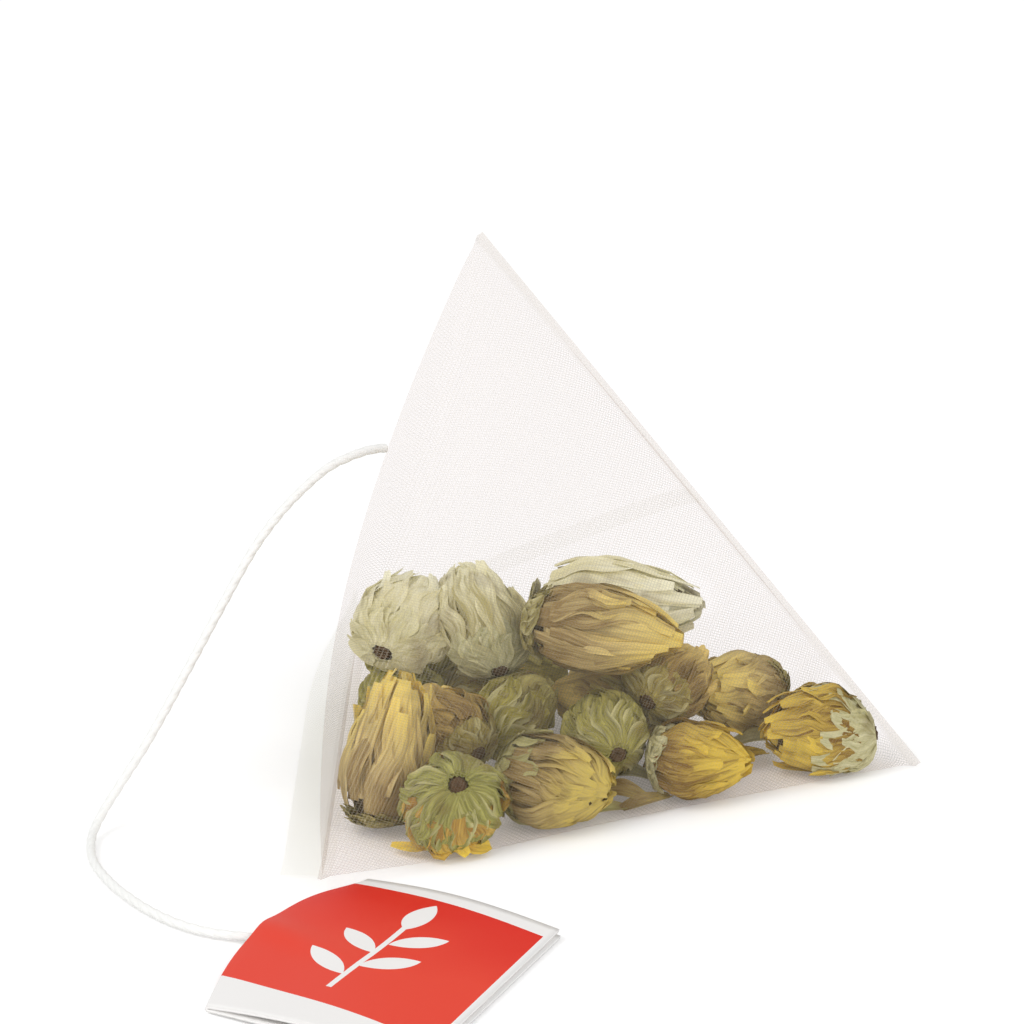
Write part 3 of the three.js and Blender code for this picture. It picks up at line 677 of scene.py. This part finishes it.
# Two plies of web that stand out from a seal, a little apart, in the given directions.
def add_plies(line, outward, up, reach, steps, gaps, from_top):
    start = len(all_corners)
    for ply in (0, 1):
        for k, (place, way, over) in enumerate(zip(line, outward, up)):
            for s in range(steps + 1):
                all_corners.append(place + way * reach * s / steps + over * gaps[ply] * min(1, s))
                u = column_width * k / per_unit + (seal_width / 2 if from_top else 0)
                v = web_advance + reach * s / steps if from_top else -reach * s / steps
                all_uvs.append((u if ply == 0 else 2 * seal_width - u, v))
    count = len(line)
    for ply in (0, 1):
        for k in range(count - 1):
            for s in range(steps):
                a = start + ply * count * (steps + 1) + k * (steps + 1) + s
                web_triangles.append((a, a + 1, a + steps + 2, a + steps + 1))


# The lip of the closing seal stands up at its rear end and lies level from its middle on.
lip_turn, lip_turn_share, lip_steps, lip_gaps = math.radians(80), 0.45, 5, (0.36, 0.14)
seal_line = [web_corners[j] for j in range(half_turn * per_unit + 1)]
curls = []
for k in range(len(seal_line)):
    share = min(1, max(0, k / (len(seal_line) - 1) / lip_turn_share))
    curls.append(lip_turn * (1 - share * share * (3 - 2 * share)))
add_plies(seal_line, [np.array([-math.cos(c), 0, math.sin(c)]) for c in curls],
          [np.array([math.sin(c), 0, math.cos(c)]) for c in curls], closing_lip, lip_steps, lip_gaps, False)
# The lip of the top seal stands straight out from the right edge.
top_lip_steps, top_lip_gaps = 2, (-0.08, 0.08)
top_line = [web_place(web_rows + k / per_unit, web_rows) for k in range(half_turn * per_unit + 1)]
top_out = (apex + right) / np.linalg.norm(apex + right)
add_plies(top_line, [top_out] * len(top_line), [np.array([0, 1.0, 0])] * len(top_line), top_lip,
          top_lip_steps, top_lip_gaps, True)
# The lap weld is a strip where the web's two side edges meet. Its U, round lap_u, is its own.
lap_half, lap_rise, lap_u = 0.8, 0.12, 240.0
lap_start = len(all_corners)
for i in range(2, web_lines):
    middle = i * width
    over = web_normals[middle] * lap_rise
    side = web_corners[middle + 1] - web_corners[middle + columns - 1]
    side /= np.linalg.norm(side)
    for s in (-1, 0, 1):
        all_corners.append(web_corners[middle] + over + side * lap_half * s)
        all_uvs.append((lap_u + lap_half * s, i / per_unit * row_height))
for a in range(lap_start, len(all_corners) - 3, 3):
    web_triangles += [(a, a + 1, a + 4, a + 3), (a + 1, a + 2, a + 5, a + 4)]
touch += [0.0] * (len(all_corners) - len(web_corners))

web = make_piece("mesh_web", all_corners, web_triangles, all_uvs, {"touch": touch})
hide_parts("mesh_bag")

# Nylon monofilament, plain weave, turned 24 degrees from the seals: clear threads 0.29 and
# 0.23 mm apart, the spacing that the photo shows. They veil what is behind them with a faint
# warm haze, less where a bud touches the mesh, and at the seals they are fused.
thread = new_material("woven_nylon_thread")
u, v, _ = add(thread, "SeparateXYZ", (add(thread, "UVMap"),)).outputs
# For each set of threads, how far a point is from the nearest, from 0 to half the spacing.
from_thread = []
for spacing, turned in ((0.293, math.radians(24.2)), (0.226, math.radians(-59.5))):
    part = add(thread, "Math", (v, math.sin(turned) / spacing), operation="MULTIPLY")
    phase = add(thread, "Math", (u, math.cos(turned) / spacing, part), operation="MULTIPLY_ADD")
    from_thread.append(add(thread, "Math", (phase, 0.5), operation="PINGPONG"))
nearest = add(thread, "Math", from_thread, operation="MINIMUM")
covered = add(thread, "Math", (nearest, 0.15), operation="LESS_THAN")
touching = add(thread, "Attribute", attribute_name="touch").outputs["Fac"]
veil = add(thread, "Math", (touching, -0.13, 0.22), operation="MULTIPLY_ADD")
haze = add(thread, "Math", (covered, veil), operation="MULTIPLY")
# The closing seal's lip and the lap are two plies deep, and are drawn clearer for that.
in_lip = add(thread, "Math", (v, -0.3), operation="LESS_THAN")
in_lap = add(thread, "Math", (u, lap_u - 5.0), operation="GREATER_THAN")
doubled = add(thread, "Math", (in_lip, in_lap), operation="MAXIMUM")
clearer = add(thread, "Math", (doubled, -0.8, 1.0), operation="MULTIPLY_ADD")
haze = add(thread, "Math", (haze, clearer), operation="MULTIPLY")
# The fused bands are a millimetre wide at the foot and half that at the top.
foot_seal = add(thread, "Math", (v, 0.2, 0.5), operation="COMPARE")
top_seal = add(thread, "Math", (v, web_advance - 0.4), operation="GREATER_THAN")
fused = add(thread, "Math", (foot_seal, top_seal), operation="MAXIMUM")
fused_haze = add(thread, "Math", (fused, 0.14), operation="MULTIPLY")
haze = add(thread, "Math", (haze, fused_haze), operation="MAXIMUM")
thread_face = add(thread, "BsdfDiffuse", {"Color": colour("#d2cab6")})
thread_through = add(thread, "BsdfTranslucent", {"Color": colour("#d2cab6")})
thread_shine = add(thread, "BsdfGlossy", {"Color": colour("#ffffff"), "Roughness": 0.35})
thread_body = add(thread, "MixShader", (0.45, thread_face, thread_through))
thread_body = add(thread, "MixShader", (0.04, thread_body, thread_shine))
seen_through = add(thread, "MixRGB", (covered, colour("#fcfafa"), colour("#fffeff")))
seen_through = add(thread, "MixRGB", (doubled, seen_through, colour("#fcfcfb")))
clear = add(thread, "BsdfTransparent", {"Color": seen_through})
add(thread, "OutputMaterial", {"Surface": add(thread, "MixShader", (haze, clear, thread_body))})
web.data.materials.append(thread)

# Table and light: a flat matt white paper sheet under an even pale sky and two broad soft lamps,
# from the left and the front. A faint glow, which lights nothing else, makes the sheet white
# to the eye, and it keeps the object's shadow.
floor_half, floor_z = 3, -0.0002
floor = bpy.data.objects.new("floor", bpy.data.meshes.new("floor"))
floor.data.from_pydata([(-floor_half, -floor_half, floor_z), (floor_half, -floor_half, floor_z),
                        (floor_half, floor_half, floor_z), (-floor_half, floor_half, floor_z)],
                       [], [(0, 1, 2, 3)])
bpy.context.scene.collection.objects.link(floor)
paper = new_material("white_paper")
ray = add(paper, "LightPath").outputs
seen = add(paper, "Math", (ray["Is Camera Ray"], ray["Is Glossy Ray"]), operation="MAXIMUM")
seen = add(paper, "Math", (seen, ray["Is Transmission Ray"]), operation="MAXIMUM")
glow = add(paper, "Math", (seen, 0.14), operation="MULTIPLY")
paper_face = add(paper, "BsdfDiffuse", {"Color": colour("#fdfdfd")})
paper_glow = add(paper, "Emission", {"Strength": glow})
add(paper, "OutputMaterial", {"Surface": add(paper, "AddShader", (paper_face, paper_glow))})
floor.data.materials.append(paper)
world = bpy.data.worlds.new("world")
bpy.context.scene.world = world
world.use_nodes = True
world.node_tree.nodes["Background"].inputs["Color"].default_value = (1, 1, 1, 1)
world.node_tree.nodes["Background"].inputs["Strength"].default_value = 0.68


def softbox(name, place, size, power):
    light = bpy.data.objects.new(name, bpy.data.lights.new(name, "AREA"))
    light.data.shape = "SQUARE"
    light.data.size, light.data.energy = size, power
    light.location = place
    light.rotation_mode = "QUATERNION"
    light.rotation_quaternion = Vector(place).to_track_quat("Z", "Y")
    bpy.context.scene.collection.objects.link(light)


softbox("softbox_left", (-0.5, -0.35, 0.7), 0.5, 2.4)
softbox("softbox_front", (0.35, -0.8, 0.45), 0.6, 2.8)
bpy.context.scene.view_settings.view_transform = "Standard"
